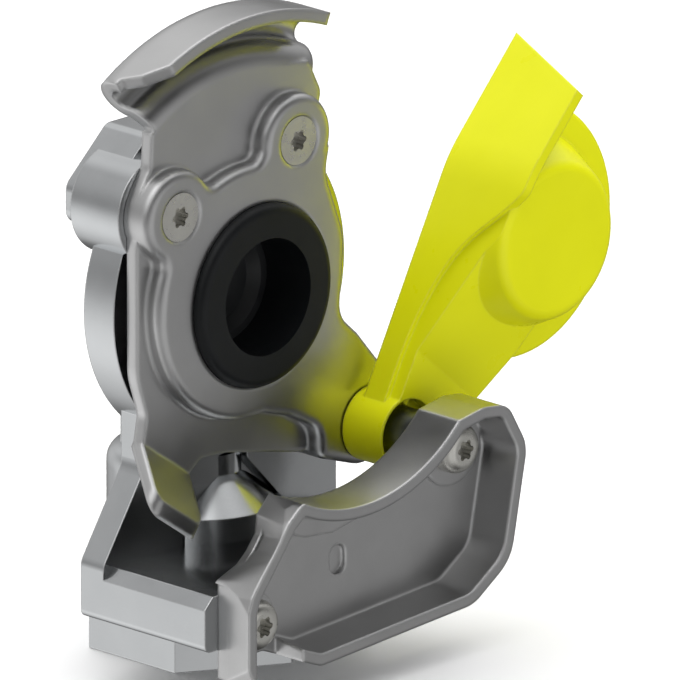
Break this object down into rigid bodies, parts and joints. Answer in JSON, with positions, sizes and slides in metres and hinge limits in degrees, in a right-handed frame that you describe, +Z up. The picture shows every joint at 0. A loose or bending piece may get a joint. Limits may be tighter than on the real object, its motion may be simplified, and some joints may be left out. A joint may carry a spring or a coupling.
{
  "type": "pneumatic coupling head",
  "caption": "Air brake coupling head with a ribbed cast body, pressed palm plate, rubber seal ring, claw bracket and a hinged yellow dust cap.",
  "frame": {"origin": "a point on the seal ring's axis, 4.1 mm behind the ring's front face", "axes": "+Z up, away from the threaded port; -Y towards the front, where the seal ring faces; Y is the seal ring's axis"},
  "size_m": [0.1193, 0.0682, 0.1285],
  "materials": {
    "cast_aluminium": "fine cast, bright",
    "pressed_steel": "satin",
    "claw_alloy": "satin cast",
    "screw_steel": "zinc plated",
    "dark_steel": "dark, smooth",
    "spring_steel": "drawn wire",
    "rubber": "smooth moulded",
    "valve_plastic": "moulded",
    "yellow_plastic": "gloss moulded"
  },
  "bodies": {
    "head": {"body": "cast_aluminium", "palm_plate": "pressed_steel", "seal_ring": "rubber", "plate_screw_left": "screw_steel", "plate_screw_right": "screw_steel", "claw": "claw_alloy", "claw_screw_lower": "screw_steel", "claw_screw_upper": "screw_steel", "hinge_sleeve": "dark_steel", "valve_spring": "spring_steel"},
    "dust_cap": {"cap": "yellow_plastic", "cap_spring": "spring_steel"},
    "plunger": {"valve_plunger": "valve_plastic"}
  },
  "joints": [
    {"name": "cap_hinge", "type": "hinge", "parent": "head", "child": "dust_cap", "pos_m": [0.0295, -0.007, -0.0321], "axis": [0, -1, 0], "range_deg": [0, 83.4]},
    {"name": "valve_slide", "type": "slide", "parent": "head", "child": "plunger", "axis": [0, 1, 0], "range_m": [0, 0.0035], "stiffness_N_per_m": 1500, "springref_m": -0.003, "deforming": ["valve_spring"]}
  ]
}
